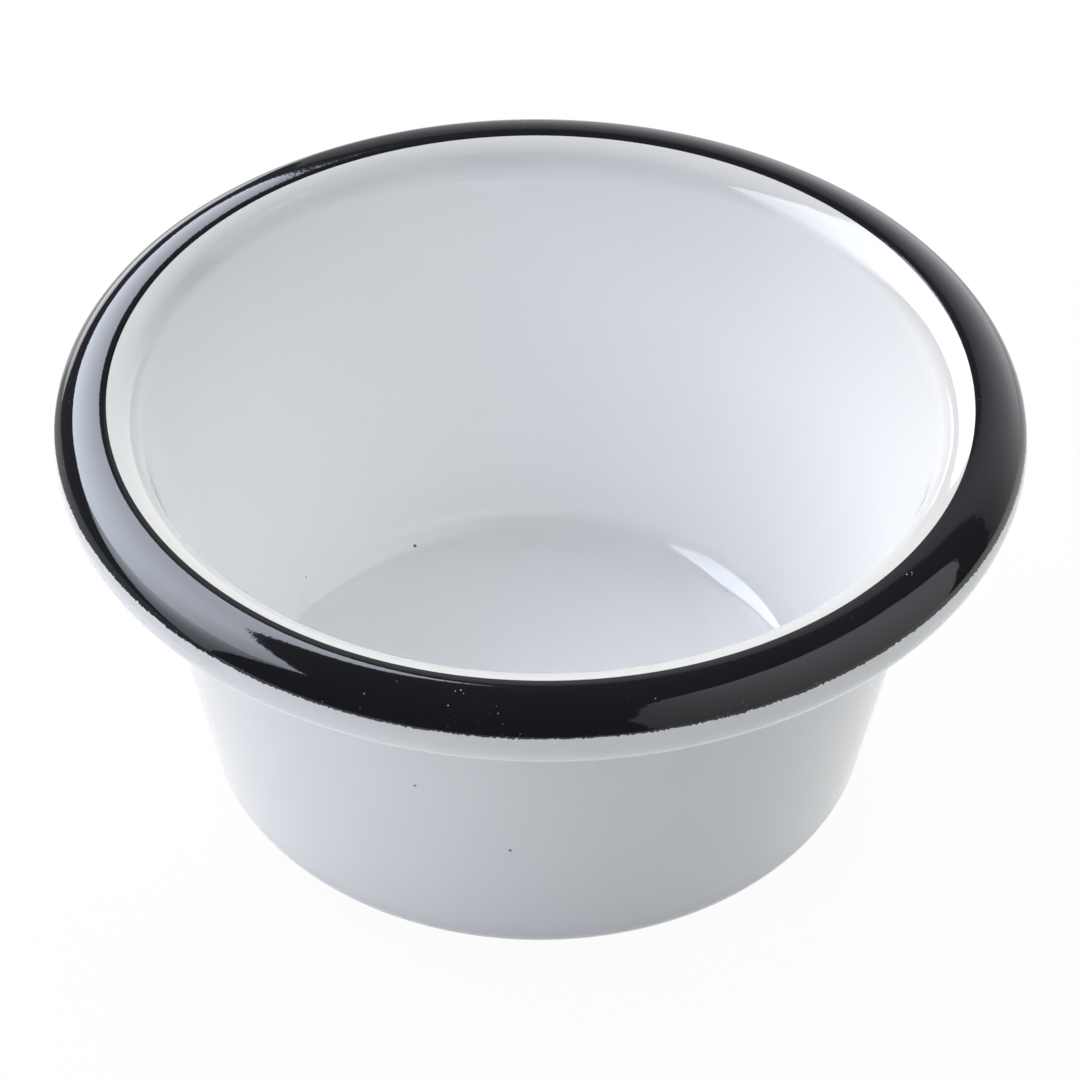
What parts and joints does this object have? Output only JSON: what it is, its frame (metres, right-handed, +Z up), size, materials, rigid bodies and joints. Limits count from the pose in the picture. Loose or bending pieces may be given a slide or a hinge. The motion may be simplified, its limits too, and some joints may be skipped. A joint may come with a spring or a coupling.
{
  "type": "ramekin",
  "caption": "Small round ramekin of enamelled pressed steel: white tapered bowl with a flat base and a rolled rim banded in black.",
  "frame": {"origin": "centre of the flat base, on the surface it stands on", "axes": "+Z up along the bowl's axis, out of its mouth; X and Y are any two directions across it"},
  "size_m": [0.08, 0.08, 0.0373],
  "materials": {
    "steel_sheet": "dull cold-rolled sheet",
    "ground_enamel": "dark fired ground coat",
    "white_enamel": "high gloss, faint orange peel",
    "black_enamel": "high gloss, faint orange peel"
  },
  "bodies": {
    "root": {"steel_shell": "steel_sheet", "inner_ground_coat": "ground_enamel", "outer_ground_coat": "ground_enamel", "inner_white_enamel": "white_enamel", "outer_white_enamel": "white_enamel", "black_rim_enamel": "black_enamel"}
  },
  "joints": []
}
